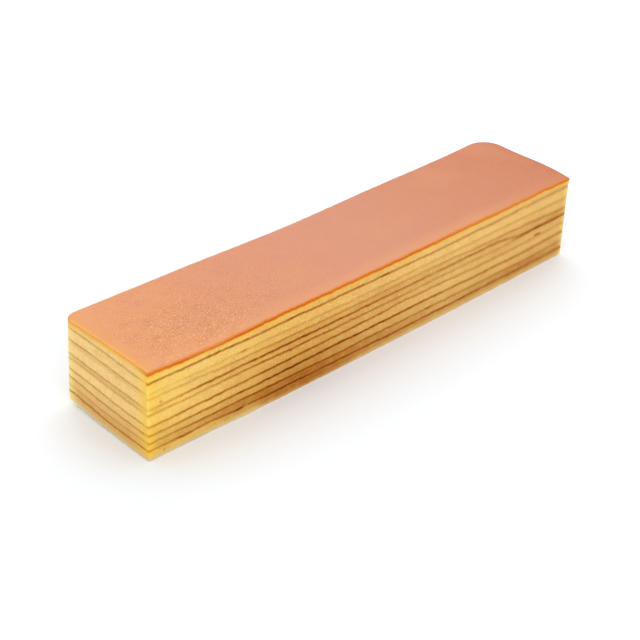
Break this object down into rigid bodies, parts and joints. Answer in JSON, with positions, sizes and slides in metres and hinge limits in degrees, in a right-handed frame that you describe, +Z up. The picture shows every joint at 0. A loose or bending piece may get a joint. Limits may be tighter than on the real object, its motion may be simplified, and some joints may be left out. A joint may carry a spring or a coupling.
{
  "type": "thousand layer cake",
  "caption": "Long bar of thousand layer cake: thin yellow sponge layers with browned skins between them, under a smooth browned crust, with a long cut face.",
  "frame": {"origin": "middle of the bottom of the box round the bar", "axes": "+X along the bar from its near end to its far end, +Z up, the long cut face looks to -Y"},
  "size_m": [0.2112, 0.0458, 0.0345],
  "materials": {
    "sponge": "soft matte yellow sponge, slightly translucent, browned in a thin line at the top of each layer",
    "browned_top": "smooth fine-grained browned crust, matte, orange along the cut edge"
  },
  "bodies": {
    "root": {"layer_01": "sponge", "layer_02": "sponge", "layer_03": "sponge", "layer_04": "sponge", "layer_05": "sponge", "layer_06": "sponge", "layer_07": "sponge", "layer_08": "sponge", "layer_09": "sponge", "layer_10": "browned_top"}
  },
  "joints": []
}
